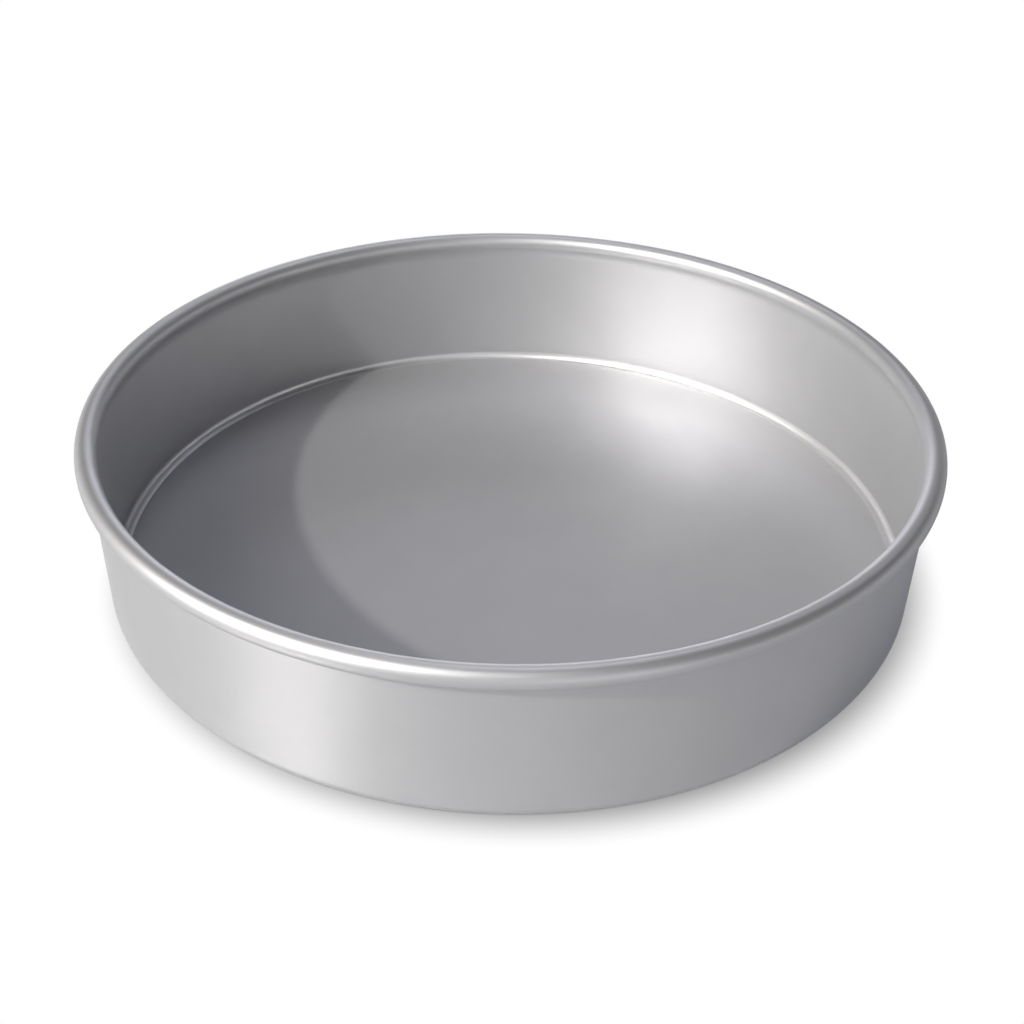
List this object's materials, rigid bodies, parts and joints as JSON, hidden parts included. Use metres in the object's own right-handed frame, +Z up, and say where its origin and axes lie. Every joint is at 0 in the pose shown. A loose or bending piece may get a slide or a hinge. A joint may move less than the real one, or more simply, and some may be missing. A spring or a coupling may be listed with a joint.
{
  "type": "round cake tin",
  "caption": "Round shallow cake tin with a rolled rim, slightly flared wall and a loose flat base that lifts out.",
  "frame": {"origin": "centre of the foot, on the surface that the tin stands on", "axes": "+Z up along the axis of the tin; the tin is round, so +X and +Y are any two level directions at right angles"},
  "size_m": [0.2638, 0.2638, 0.0527],
  "materials": {
    "wall_sheet": "satin anodised sheet",
    "base_sheet": "satin anodised sheet",
    "rim_wire": "drawn wire"
  },
  "bodies": {
    "tin": {"tin_wall": "wall_sheet", "rim_wire": "rim_wire"},
    "base": {"loose_base": "base_sheet"}
  },
  "joints": [
    {"name": "base_lift", "type": "slide", "parent": "tin", "child": "base", "axis": [0, 0, 1], "range_m": [0, 0.06]}
  ]
}
